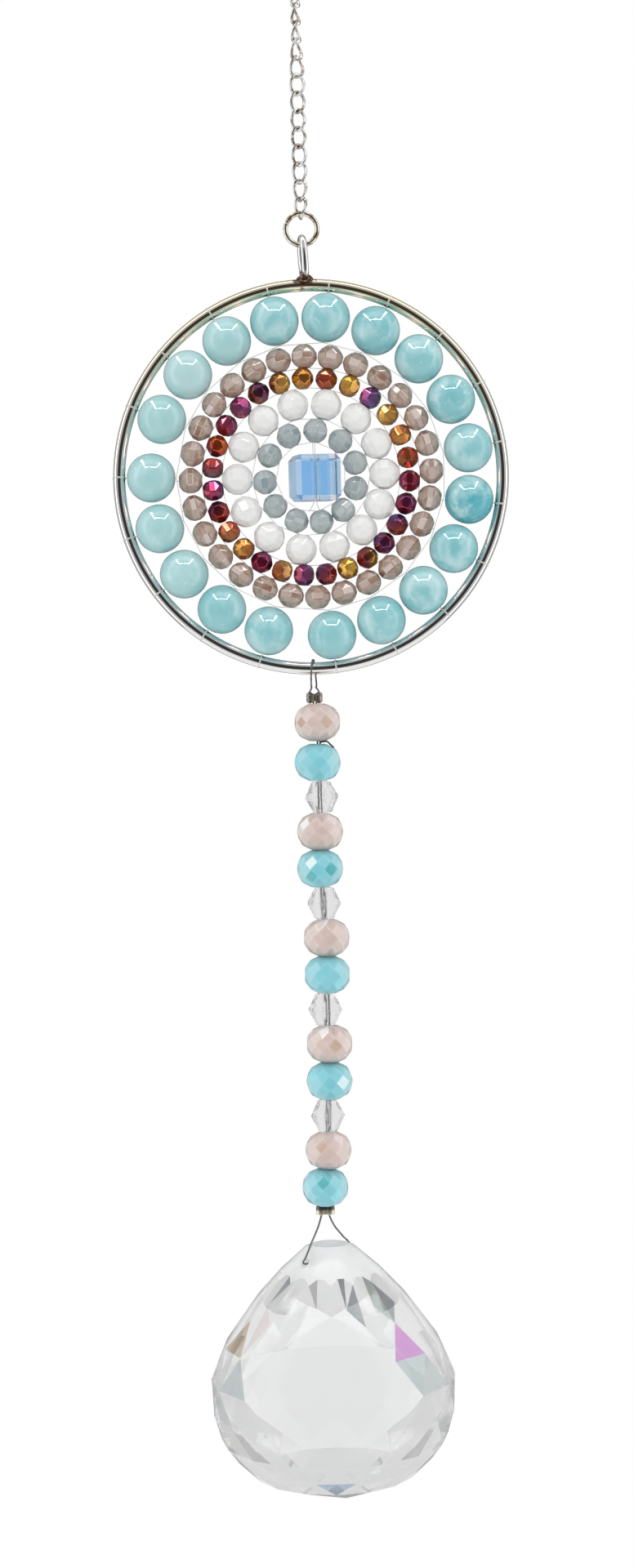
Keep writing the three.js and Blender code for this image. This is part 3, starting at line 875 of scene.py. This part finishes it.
def hoop_wraps(angles):
    """Turns of thread round the hoop's wire at every bead."""
    runs = []
    round_wire = (HOOP_WIRE + THREAD) / 2 + WRAP["play"]
    for clock in angles:
        run = []
        for i in range(WRAP["steps"] + 1):
            share = i / WRAP["steps"]
            turn = share * 2 * WRAP["turns"] * pi
            along = degrees(WRAP["width"] * (share - 0.5) / hoop_radius)
            out = hoop_radius - round_wire * cos(turn)
            run.append(on_clock(out, clock + along, round_wire * sin(turn)))
        runs.append(run)
    return strung(runs, THREAD, resolution=2, sides=1)


def cube_threads(reach):
    """Two threads from the ring above, down through the cube, parting to the ring below."""
    cube = middle("cube_bead")
    low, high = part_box("cube_bead")
    runs = []
    for side, foot in CUBE_THREADS:
        x = cube.x + side * MM
        foot_x = hoop_centre.x + foot * MM
        rim = sqrt(reach ** 2 - (x - hoop_centre.x) ** 2)
        toe = sqrt(reach ** 2 - (foot * MM) ** 2)
        runs.append([Vector((x, 0, hoop_centre.z + rim)), Vector((x, 0, high.z)),
                     Vector((x, 0, low.z)), Vector((foot_x, 0, hoop_centre.z - toe))])
    return strung(runs, THREAD, resolution=6, sides=1)


# ---------------- cube

CUBE = {"edge": 7.5 * MM, "corner": 1.7 * MM, "bevel": 0.8 * MM, "bore": 1.5 * MM, "cover": 0.84}
CUBE_TIP, CUBE_TURN = radians(5), radians(12)
# Painted light: the glass is one blue, and the tints by facet paint the light through and off the
# cut.
CUBE_DEEP, CUBE_EDGE = (0.08, 0.20, 0.60), (0.88, 0.88, 0.98)
CUBE_FRONT, CUBE_SIDE = (0.16, 0.50, 1.0), (0.86, 0.90, 1.0)


def model_cube():
    """A cube of clear blue glass with cut corners, bored from top to bottom."""
    cube = start("cube", size=CUBE["edge"])
    for signs in product((-1, 1), repeat=3):
        away = Vector(signs).normalized()
        reach = away.dot(Vector(signs) * (CUBE["edge"] / 2)) - CUBE["corner"] / sqrt(3)
        select_all()
        bpy.ops.mesh.bisect(plane_co=away * reach, plane_no=away, use_fill=True, clear_outer=True)
    bevel(whole(cube), CUBE["bevel"], 60)
    tinted(cube, cube_tint, cover=CUBE["cover"])
    bore = primitive("cylinder", vertices=24, radius=CUBE["bore"] / 2, depth=2 * CUBE["edge"])
    boolean(cube, bore, "DIFFERENCE")
    turned = Euler((CUBE_TIP, 0, CUBE_TURN), "ZXY").to_matrix().to_4x4()
    put(cube, Matrix.Translation(middle("cube_bead")) @ turned)
    glass = tinted_crystal("sapphire_crystal", 1.36, (0.60, 0.80, 1.0))
    finished(cube, "sapphire_cube", glass, "sapphire_crystal", "cube_bead")


def cube_tint(facet):
    """Painted light on one blue glass: blue in front and behind, pale at the sides and cut edges as
    painted reflection, deep blue on the corners as painted shade.
    """
    aligned = [abs(c) for c in facet.normal]
    if min(aligned) > 0.3:
        return CUBE_DEEP
    if max(aligned) < 0.95:
        return CUBE_EDGE
    return CUBE_FRONT if aligned[1] > 0.95 else CUBE_SIDE


# ---------------- strand

RONDELLE = {"across": 7.7 * MM, "longer": 0.1 * MM, "bore": 1.2 * MM, "corners": 10}
BICONE = {"across": 5.7 * MM, "bore": 0.9 * MM, "corners": 8}
STRAND_POLISH = 0.1 * MM
LEAN = 3  # degrees: how far a bead of the strand leans at most

# Tints of the painted highlights and reflections on the strand's facets.
TAN, PEARL, BLUSH = (0.56, 0.42, 0.33), (0.90, 0.88, 0.87), (0.80, 0.68, 0.66)
TEAL, ICE, SKY = (0.12, 0.46, 0.48), (0.80, 0.92, 0.93), (0.34, 0.72, 0.80)

# Facets of the strand's beads painted as light: the pale tints are painted highlights, and the tan
# and teal ones are painted darker reflections. Degrees round from the front, height in mm, tint.
GLEAMS = {
    "pink_rondelle_1": [(-38, -0.6, TAN), (14, 0.3, TAN), (-55, 1.4, BLUSH)],
    "pink_rondelle_2": [(-42, 1.6, PEARL), (40, 1.6, BLUSH)],
    "pink_rondelle_3": [(-4, 2.0, PEARL), (-30, 2.2, BLUSH)],
    "pink_rondelle_4": [(-22, 1.6, PEARL), (8, 0.3, TAN), (50, 0.8, BLUSH)],
    "pink_rondelle_5": [(-14, 0.4, TAN), (35, 1.6, BLUSH)],
    "aqua_rondelle_1": [(-60, 0.8, SKY), (-30, -1.8, SKY), (40, -1.6, SKY)],
    "aqua_rondelle_2": [(-36, 1.2, ICE), (-12, -0.9, TEAL), (24, -0.4, TEAL)],
    "aqua_rondelle_3": [(38, -1.0, SKY), (-50, -1.4, SKY)],
    "aqua_rondelle_4": [(38, 0.9, ICE), (-48, 0.9, SKY)],
    "aqua_rondelle_5": [(-6, 0.4, TEAL), (44, -1.0, SKY)],
}


def big_rondelle(across, along):
    """Rows that give three bands of lozenge facets, from one table to the other."""
    r, h = across / 2, along / 2
    step = cos(pi / RONDELLE["corners"])
    girdle, flank = step * r, r - 2 * (1 - step ** 2) * r * 1.25
    return [(0.36 * r, -h), (flank, -0.76 * h), (girdle, -0.38 * h), (r, 0), (girdle, 0.38 * h),
            (flank, 0.76 * h), (0.36 * r, h)]


def bicone(across, along):
    r, h = across / 2, along / 2
    return [(0.55 * r, -h), (r, 0), (0.55 * r, h)]


def gleam(piece, centre, marks):
    """Paints the facets nearest to the marks, each given round the piece's centre, with their
    tints: painted highlights and reflections.
    """
    for around, height, colour in marks:
        turn = radians(around)
        aim = Vector((sin(turn), -cos(turn), 0))

        def distance(facet):
            out = facet.center - centre
            flat = Vector((out.x, out.y, 0))
            return hypot(flat.length * aim.angle(flat, pi), out.z - height * MM)

        outward = [f for f in piece.data.polygons if f.normal.dot(f.center - centre) > 0]
        nearest = min(outward, key=distance)
        piece.data.attributes["tint"].data[nearest.index].color = (*colour, 1)


def painted_pale_sides(bead):
    """Painted light: facets that face the two sides are paled towards white, for the brighter edges
    of the lit glass.
    """
    for facet, tint in zip(bead.data.polygons, bead.data.attributes["tint"].data):
        share = 0.45 * facet.normal.x ** 2
        tint.color = tuple(c + (0.9 - c) * share for c in tint.color[:3]) + (1,)


def strand_pattern(kind):
    """The cut bead that the beads of this kind are copied from."""
    low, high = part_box(f"{kind}_1")
    if kind == "clear_bicone":
        rows = bicone(BICONE["across"], high.z - low.z)
        return cut_bead(rows, BICONE["corners"], BICONE["bore"])
    rows = big_rondelle(RONDELLE["across"], high.z - low.z + RONDELLE["longer"])
    return cut_bead(rows, RONDELLE["corners"], RONDELLE["bore"])


def model_strand():
    chance = random.Random(11)
    milky = {"Subsurface_Weight": 1.0, "Subsurface_Radius": (1, 1, 1), "Roughness": 0.08,
             "Subsurface_Scale": 3 * MM}
    pink = tinted_glass("pink_glass", (0.76, 0.66, 0.63), 0.4, **milky)
    opal = tinted_glass("aqua_opal_glass", (0.28, 0.64, 0.70), 0.4, **milky)
    clear = clear_glass("bicone_crystal", (0.99, 0.99, 0.995), 1.25, 0.7)
    # Each kind: how many, its finish, its slot and its tint, which the bicones' glass doesn't read.
    kinds = {
        "pink_rondelle": (5, pink, "pink_glass", (0.63, 0.51, 0.47)),
        "aqua_rondelle": (5, opal, "aqua_glass", (0.26, 0.61, 0.68)),
        "clear_bicone": (4, clear, "clear_crystal", (1, 1, 1)),
    }
    for kind, (count, finish, slot, tint) in kinds.items():
        pattern = strand_pattern(kind)
        for i in range(1, count + 1):
            name, centre = f"{kind}_{i}", middle(f"{kind}_{i}")
            bead = tinted(copy_of(pattern), lambda facet: varied(tint, 0.03, chance))
            spin = Matrix.Rotation(chance.uniform(0, 2 * pi), 4, "Z")
            lean = Matrix.Rotation(radians(chance.uniform(-LEAN, LEAN)), 4, "Y")
            put(bead, Matrix.Translation(centre) @ lean @ spin)
            # Painted light: paler sides, then painted highlights and reflections on the marked
            # facets.
            painted_pale_sides(bead)
            gleam(bead, centre, GLEAMS.get(name, []))
            softened(bead, STRAND_POLISH)
            smooth(bead, 12)
            finished(bead, f"{kind}_cut_{i}", finish, slot, name)
        bpy.data.objects.remove(pattern)


CRIMP_WALL = 0.28  # of the tube's radius
CRIMP_BEVEL = 0.12 * MM

# Each crimp: its metal's main tone and the tone below its lip, the lip's height and fade,
# and how far it is pinched, as a share.
CRIMPS = {
    "upper_crimp": ((0.66, 0.58, 0.48), (0.20, 0.15, 0.11), upper_crimp_z - 0.85 * MM, 0.2 * MM,
                    0.4),
    "lower_crimp": ((0.20, 0.23, 0.20), (0.98, 0.90, 0.70), lower_crimp_z + 0.05 * MM, 0.15 * MM,
                    0.1),
}


def model_crimps():
    """Short tubes squeezed flat on the wire: pinched in the middle, wide at the ends."""
    for name, (dull, bright, edge_z, span, pinch) in CRIMPS.items():
        low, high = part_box(name)
        size = high - low
        crimp = start("cylinder", vertices=24, radius=size.x / 2, depth=size.z)
        drilled(crimp, CRIMP_WALL * size.x / 2)
        bevel(crimp, CRIMP_BEVEL, 40, segments=2)
        modify(crimp, "SUBSURF", levels=1, render_levels=1)
        for point in crimp.data.vertices:
            side = point.co.x / (size.x / 2)
            point.co.y *= (size.y / size.x) * (0.55 + 0.45 * abs(side))
            point.co.z *= (1 - pinch * exp(-(side / 0.35) ** 2)) * (1 - pinch * side ** 4)
        put(crimp, Matrix.Translation((low + high) / 2))
        smooth(crimp, 50)
        metal = crimp_metal(f"{name}_metal", dull, bright, edge_z, span)
        finished(crimp, f"{name}_squeezed", metal, "pewter", name)


# ---------------- wire

# Sideways sway of the wire: (share of the strand's length, x in mm).
SWAY = [(0, 0), (0.1, 0.55), (0.3, 0.4), (0.5, 0.7), (0.68, 0.65), (0.84, 0.35), (0.95, -0.2),
        (1, -0.55)]
WIRE_SPACING = 0.45 * MM
RUN_STEPS = 12
BORE_ACROSS = radians(42)  # in plan, from +Y towards +X
BORE_REACH = 6.5 * MM  # how far out from the ball's axis the wire turns into the bore
BORE_BELOW_TOP = 2.3 * MM
BORE_WIDTH = 1.4 * MM


def sway_at(z):
    share = min(1, max(0, (upper_crimp_z - z) / (upper_crimp_z - lower_crimp_z)))
    for (start_at, start_x), (end_at, end_x) in zip(SWAY, SWAY[1:]):
        if share <= end_at:
            return (start_x + (end_x - start_x) * (share - start_at) / (end_at - start_at)) * MM
    return SWAY[-1][1] * MM


def wire_over_hoop():
    """Up from the crimp, round the hoop's wire and back: x and y in mm, z in metres."""
    tube, crimp = hoop_centre.z - hoop_radius, upper_crimp_z
    points = [
        (-0.38, -0.3, crimp), (-0.8, -0.75, crimp + 0.75 * MM), (-0.62, -0.6, crimp + 1.15 * MM),
        (-0.42, -0.3, crimp + 1.7 * MM), (-0.45, -0.6, tube - 2.9 * MM),
        (-0.42, -1.3, tube - 1.1 * MM), (-0.34, -1.5, tube), (-0.2, -1.1, tube + 1.1 * MM),
        (0, 0, tube + 1.4 * MM), (0.12, 1.1, tube + 1.1 * MM), (0.2, 1.5, tube),
        (0.3, 1.3, tube - 1.1 * MM), (0.4, 0.6, tube - 2.9 * MM), (0.3, -0.1, crimp + 1.7 * MM),
        (0.62, -0.6, crimp + 1.2 * MM), (0.75, -0.75, crimp + 0.8 * MM), (0.38, -0.3, crimp),
    ]
    return [Vector((x * MM, y * MM, z)) for x, y, z in points]


def wire_through_ball():
    """Out of the lower crimp, across the ball's bore and back."""
    plan = Vector((sin(BORE_ACROSS), cos(BORE_ACROSS), 0))
    bore_z = ball_high.z - BORE_BELOW_TOP

    def along_bore(reach, height=0.0):
        return plan * reach + Vector((0, 0, bore_z + height))

    crimp_x = sway_at(lower_crimp_z)
    far, near = BORE_REACH, BORE_REACH - 0.6 * MM
    return [
        Vector((crimp_x + 0.5 * MM, 0, lower_crimp_z + 0.4 * MM)),
        Vector((crimp_x + 0.68 * MM, 0.08 * MM, lower_crimp_z - 1 * MM)),
        along_bore(3.3 * MM, 3.0 * MM), along_bore(4.4 * MM, 2.1 * MM),
        along_bore(5.6 * MM, 0.95 * MM),
        along_bore(far, 0.25 * MM), along_bore(near), along_bore(0), along_bore(-near),
        along_bore(-far, 0.25 * MM), along_bore(0.5 * MM - far, 0.9 * MM),
        along_bore(-4.8 * MM, 2.6 * MM),
        Vector((crimp_x - 0.72 * MM, -0.12 * MM, lower_crimp_z - 1 * MM)),
        Vector((crimp_x - 0.5 * MM, 0, lower_crimp_z + 0.4 * MM)),
    ]


def wire_tail():
    """The cut end, out of the gap below the first bead."""
    half = WIRE_SPACING / 2
    gap_z = (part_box("pink_rondelle_1")[0].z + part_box("aqua_rondelle_1")[1].z) / 2
    bends = [(1.2, -0.3, 0.1), (1.85, -0.55, 0.1), (2.4, -0.8, -0.4), (2.95, -1.0, -0.95)]
    return [Vector((sway_at(gap_z) + half, 0, gap_z)),
            *(Vector((x * MM, y * MM, gap_z + rise * MM)) for x, y, rise in bends)]


def model_wire():
    """One length of wire, over the hoop, down through the strand and across the ball's bore."""
    half = WIRE_SPACING / 2
    run_top, run_foot = upper_crimp_z - 2 * MM, lower_crimp_z + 3 * MM
    heights = [run_top + (run_foot - run_top) * i / RUN_STEPS for i in range(RUN_STEPS + 1)]
    right = [Vector((sway_at(z) + half, 0, z)) for z in heights]
    left = [Vector((sway_at(z) - half, 0, z)) for z in reversed(heights)]
    route = wire_over_hoop() + right + wire_through_ball() + left
    loop = strung([route], WIRE, closed=True, resolution=8)
    tail = strung([wire_tail()], WIRE)
    finished(joined([loop, tail]), "beading_wire_loop", beading_wire(), "beading_wire",
             "strand_wire")


# ---------------- crystal ball

# Rows of corners from the foot up, then of the smooth neck: radius, height over the centre, mm.
BALL_ROWS = [(7.5, -14.7), (13.2, -13.0), (16, -10.5), (18.6, -7.2), (19.9, -2.4), (20, 2.6),
             (17.8, 8.3), (14.2, 13.4), (12.2, 16), (9.2, 19.3)]
NECK_ROWS = [(3.1, 24.3), (4.1, 23.9), (8.3, 20.2)]
BALL_CORNERS, NECK_CORNERS = 16, 48
BALL_TIP, TIP_ASIDE = -17.6, 1.6  # mm: the foot's point, over the centre and right of it
BALL_DEPTH = 18.9  # mm from the foot of the CAD ball up to its centre
BALL_COVER = 0.6

# Facets painted with light, all on the front half of the ball: the greys and dark tints are painted
# reflections of the room, and the violet, blue, pink and tan ones are painted prismatic colour.
# Degrees round from the front towards +X, height in mm, colour.
GLINTS = [
    (10, 18.4, (0.34, 0.38, 0.41)), (14, 15.0, (0.40, 0.44, 0.47)),
    (-15, 18.4, (0.72, 0.72, 0.71)), (40, 18.3, (0.55, 0.60, 0.56)), (44, 17, (0.60, 0.66, 0.62)),
    (46, 14.5, (0.40, 0.44, 0.47)), (49, 9.7, (0.78, 0.42, 0.80)), (51, 6, (0.70, 0.78, 0.78)),
    (55, 4, (0.74, 0.80, 0.80)), (-74, 9.5, (0.66, 0.56, 0.44)), (-56, 14.5, (0.88, 0.80, 0.79)),
    (-60, 4.5, (0.68, 0.73, 0.74)), (-64, 1, (0.74, 0.77, 0.78)), (-61, -4.5, (0.70, 0.70, 0.68)),
    (3, -12.3, (0.42, 0.54, 0.68)), (-50, 18.4, (0.52, 0.55, 0.57)),
    (64, -3.5, (0.70, 0.74, 0.72)), (62, -12, (0.68, 0.70, 0.70)),
    (-52, -12.3, (0.70, 0.71, 0.70)),
]


def model_ball():
    """A cut ball with a smooth pointed neck, and a bore across the neck."""
    centre_z = ball_low.z + BALL_DEPTH * MM
    ball = start("circle", vertices=3, radius=0.01 * MM)
    select_all()
    bpy.ops.transform.translate(value=(TIP_ASIDE * MM, 0, BALL_TIP * MM))
    for i, (radius, height) in enumerate(BALL_ROWS):
        add_row(BALL_CORNERS, radius * MM, height * MM, ((i + 1) % 2) * pi / BALL_CORNERS)
    for radius, height in NECK_ROWS:
        add_row(NECK_CORNERS, radius * MM, height * MM)
    hull(0.3, join_triangles=False)
    whole(ball)
    tinted(ball, lambda facet: CLEAR, cover=BALL_COVER)
    # The painted reflections and prismatic colours go on squared, as the glass shows the square
    # root of its colour.
    gleam(ball, Vector(), [(around, height, tuple(c * c for c in colour))
                           for around, height, colour in GLINTS])
    put(ball, Matrix.Translation((0, 0, centre_z)))
    bore = primitive("cylinder", vertices=16, radius=BORE_WIDTH / 2, depth=60 * MM)
    lying = Matrix.Rotation(-BORE_ACROSS, 4, "Z") @ Matrix.Rotation(pi / 2, 4, "X")
    put(bore, Matrix.Translation((0, 0, ball_high.z - BORE_BELOW_TOP)) @ lying)
    boolean(ball, bore, "DIFFERENCE")
    smooth(ball, 9)
    glass = tinted_crystal("ball_crystal", 1.42, CLEAR)
    finished(ball, "cut_crystal_ball", glass, "clear_crystal", "crystal_ball")
    ball.data.materials.append(neck_crystal())
    for facet in ball.data.polygons:
        if facet.center.z - centre_z > BALL_ROWS[-1][1] * MM:
            facet.material_index = 1


# ---------------- studio

def studio_world():
    """A white room, with a strength of its own for each kind of ray.

    What is mirrored sees a dark opening in front, a bright panel before the hoop's plane and a
    dimmer wall far behind. What is seen through glass is dimmer in front and behind, and
    diffuse light comes more from above.
    """
    world = bpy.data.worlds.new("studio")
    world.use_nodes = True
    bpy.context.scene.world = world
    nodes = Nodes(world.node_tree)
    room = nodes.tree.nodes["Background"]
    facing = nodes.add("ShaderNodeTexCoord").outputs["Generated"]
    split = nodes.add("ShaderNodeSeparateXYZ", facing).outputs
    rays = nodes.add("ShaderNodeLightPath").outputs

    def across(begin, end, begin_level, end_level):
        return nodes.ramp(split["Y"], begin, end, begin_level, end_level)

    def chosen(ray, level, other):
        made = nodes.add("ShaderNodeMix", rays[ray])
        nodes.feed(made.inputs[2], other)
        nodes.feed(made.inputs[3], level)
        return made.outputs[0]

    mirrored = nodes.math("MULTIPLY", across(-0.9, -0.84, 0.04, 0.5), across(0.65, 0.85, 1.0, 0.35))
    panel = nodes.math("MULTIPLY", across(-0.46, -0.38, 0.0, 1.2), across(-0.06, 0.02, 1.0, 0.0))
    mirrored = nodes.math("ADD", mirrored, panel)
    through_glass = nodes.math("MULTIPLY", across(-0.9, -0.7, 0.8, 0.94),
                               across(0.2, 0.7, 1.0, 0.80))
    diffuse = nodes.ramp(split["Z"], -1.0, 1.0, 0.70, 1.12)
    level = chosen("Is Transmission Ray", through_glass, mirrored)
    level = chosen("Is Diffuse Ray", diffuse, level)
    nodes.feed(room.inputs["Strength"], chosen("Is Camera Ray", 1.0, level))
    room.inputs["Color"].default_value = (1, 1, 1, 1)


# Strip lights on the ceiling: place from the hoop's centre, length along X and Y, watts.
STRIPS = {
    "front_strip": ((0, -0.44, 0.45), 0.57, 0.06, 2.0),
    "left_strip": ((-0.26, -0.115, 0.45), 0.06, 0.61, 1.2),
    "right_strip": ((0.26, -0.115, 0.45), 0.06, 0.61, 1.2),
}
FLOOR_SIZE, FLOOR_BELOW = 0.7, 0.16


def ceiling_strip(name, place, long_x, long_y, power, lit):
    """A strip light that only the lit pieces catch, as their glint."""
    light = bpy.data.lights.new(name, "AREA")
    light.shape = "RECTANGLE"
    light.size, light.size_y, light.energy = long_x, long_y, power
    strip = in_scene(name, light)
    strip.location = hoop_centre + Vector(place)
    strip.visible_camera = strip.visible_diffuse = False
    strip.light_linking.receiver_collection = lit


def model_studio():
    studio_world()
    beads = bpy.data.collections.new("opaque_beads")
    for piece in list(bpy.context.scene.objects):
        if "_bead" in piece.name:
            beads.objects.link(piece)
    for name, strip in STRIPS.items():
        ceiling_strip(name, *strip, beads)
    floor = primitive("plane", size=FLOOR_SIZE, location=(0, 0, ball_low.z - FLOOR_BELOW))
    floor.name = "pale_floor"
    paint = Finish("pale_floor", Roughness=0.8)
    paint.colour(paint.clouds(4, 0.3, 0.8), (0.86, 0.86, 0.86), (0.84, 0.84, 0.84))
    floor.data.materials.append(paint.material)


CAMERA = {"distance": 375 * MM, "view_height": 257.7 * MM, "roll": radians(1.6), "sensor": 36}
VIEW_RIGHT, VIEW_BELOW_JUMP_RING = 0.03 * MM, 91.2 * MM


def place_camera():
    """Level with the middle of the view, a little over a third of a metre away."""
    view_middle = Vector((VIEW_RIGHT, 0, middle("jump_ring").z - VIEW_BELOW_JUMP_RING))
    camera = bpy.data.cameras.new("camera")
    camera.sensor_width = CAMERA["sensor"]
    camera.lens = camera.sensor_width * CAMERA["distance"] / CAMERA["view_height"]
    camera.clip_start, camera.clip_end = 0.01, 20
    eye = in_scene("camera", camera)
    turned = Matrix.Rotation(CAMERA["roll"], 4, "Y") @ Matrix.Rotation(pi / 2, 4, "X")
    stand = view_middle - Vector((0, CAMERA["distance"], 0))
    eye.matrix_world = Matrix.Translation(stand) @ turned
    bpy.context.scene.camera = eye
    bpy.context.scene.view_settings.view_transform = "Standard"


model_rings()
model_hoop()
model_aqua_round()
model_small_rounds()
model_lacing()
model_cube()
model_crimps()
model_strand()
model_wire()
model_ball()
model_studio()
place_camera()
